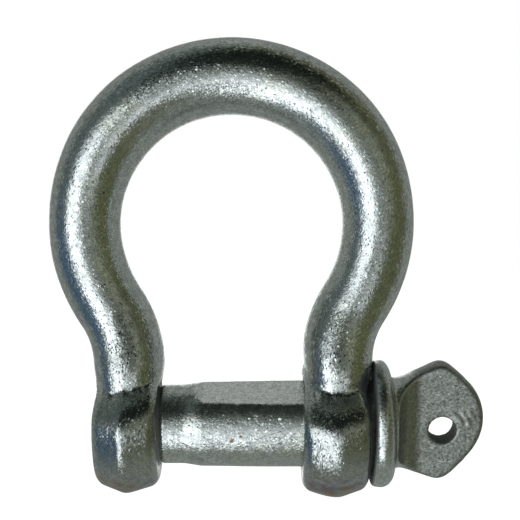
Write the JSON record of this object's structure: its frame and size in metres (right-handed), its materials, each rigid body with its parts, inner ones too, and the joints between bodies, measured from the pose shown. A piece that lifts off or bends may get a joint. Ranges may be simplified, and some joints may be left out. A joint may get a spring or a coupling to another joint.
{
  "type": "bow shackle",
  "caption": "Forged zinc-plated bow shackle: a round loop with two eyes, closed by a collared screw pin with a flat eye.",
  "frame": {"origin": "on the pin axis, midway between the jaws", "axes": "+X along the pin towards its eye, +Z to the crown of the bow, +Y square to the plane of the bow"},
  "size_m": [0.0715, 0.0242, 0.0759],
  "materials": {
    "zinc_bow": "bright zinc-plated forged steel, fine grain",
    "zinc_pin": "bright zinc-plated steel, matte forged eye"
  },
  "bodies": {
    "bow": {"bow_body": "zinc_bow"},
    "pin": {"screw_pin": "zinc_pin"}
  },
  "joints": [
    {"name": "pin_withdraw", "type": "slide", "parent": "bow", "child": "pin", "axis": [1, 0, 0], "range_m": [0, 0.046]}
  ]
}
